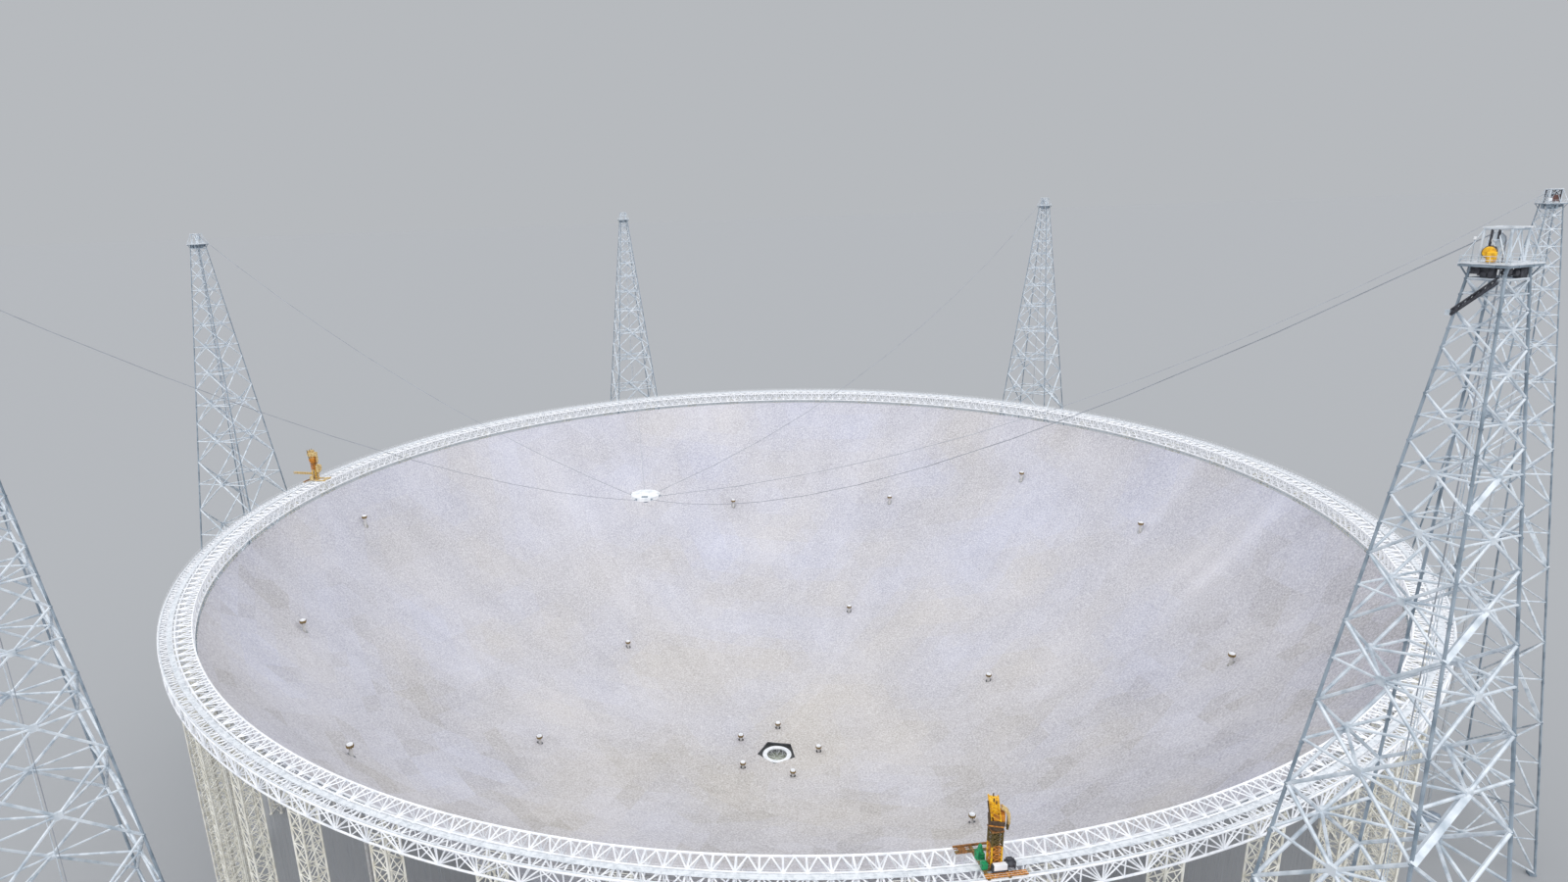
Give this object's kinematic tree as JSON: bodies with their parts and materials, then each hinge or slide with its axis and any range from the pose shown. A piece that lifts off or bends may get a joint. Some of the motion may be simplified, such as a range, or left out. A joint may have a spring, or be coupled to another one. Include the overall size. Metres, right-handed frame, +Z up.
{
  "type": "radio telescope with a fixed spherical bowl, 1:20 scale model",
  "caption": "Fixed spherical bowl reflector in a lattice ring beam on columns, with lattice towers that carry a feed cabin on ropes; scale model.",
  "frame": {"origin": "on the floor, under the centre of the bowl", "axes": "+Z up along the bowl's axis, +X to the right and +Y away, as seen in the picture"},
  "size_m": [32.9796, 31.7688, 14.09],
  "materials": {
    "reflector_panel": "satin, weathered",
    "white_paint": "semi-gloss",
    "galvanised_steel": "dull zinc",
    "rope_steel": "dull",
    "house_wall": "matt",
    "concrete": "matt",
    "yellow_paint": "semi-gloss"
  },
  "bodies": {
    "telescope": {"reflector_sector_1": "reflector_panel", "reflector_sector_2": "reflector_panel", "reflector_sector_3": "reflector_panel", "reflector_sector_4": "reflector_panel", "reflector_sector_5": "reflector_panel", "ring_segment_1": "white_paint", "ring_segment_2": "white_paint", "ring_segment_3": "white_paint", "ring_segment_4": "white_paint", "ring_segment_5": "white_paint", "tower_1": "galvanised_steel", "tower_2": "galvanised_steel", "tower_3": "galvanised_steel", "tower_4": "galvanised_steel", "tower_5": "galvanised_steel", "tower_6": "galvanised_steel", "rope_1": "rope_steel", "rope_2": "rope_steel", "rope_3": "rope_steel", "rope_4": "rope_steel", "rope_5": "rope_steel", "rope_6": "rope_steel", "winch_house_1": "house_wall", "winch_house_2": "house_wall", "winch_house_3": "house_wall", "winch_house_4": "house_wall", "winch_house_5": "house_wall", "winch_house_6": "house_wall", "feed_cabin": "white_paint", "docking_platform": "white_paint", "measuring_pier_01": "concrete", "measuring_pier_02": "concrete", "measuring_pier_03": "concrete", "measuring_pier_04": "concrete", "measuring_pier_05": "concrete", "measuring_pier_06": "concrete", "measuring_pier_07": "concrete", "measuring_pier_08": "concrete", "measuring_pier_09": "concrete", "measuring_pier_10": "concrete", "measuring_pier_11": "concrete", "measuring_pier_12": "concrete", "measuring_pier_13": "concrete", "measuring_pier_14": "concrete", "measuring_pier_15": "concrete", "measuring_pier_16": "concrete", "measuring_pier_17": "concrete", "measuring_pier_18": "concrete", "derrick_mast_1": "yellow_paint", "derrick_mast_2": "yellow_paint"},
    "derrick_upper_1": {"derrick_jib_1": "yellow_paint"},
    "derrick_upper_2": {"derrick_jib_2": "yellow_paint"}
  },
  "joints": [
    {"name": "derrick_slew_1", "type": "hinge", "parent": "telescope", "child": "derrick_upper_1", "pos_m": [2.34628, -12.65941, 7.8471], "axis": [0, 0, 1], "range_deg": [-160, 160]},
    {"name": "derrick_slew_2", "type": "hinge", "parent": "telescope", "child": "derrick_upper_2", "pos_m": [-12.65941, 2.34628, 7.8471], "axis": [0, 0, 1], "range_deg": [-160, 160]}
  ]
}
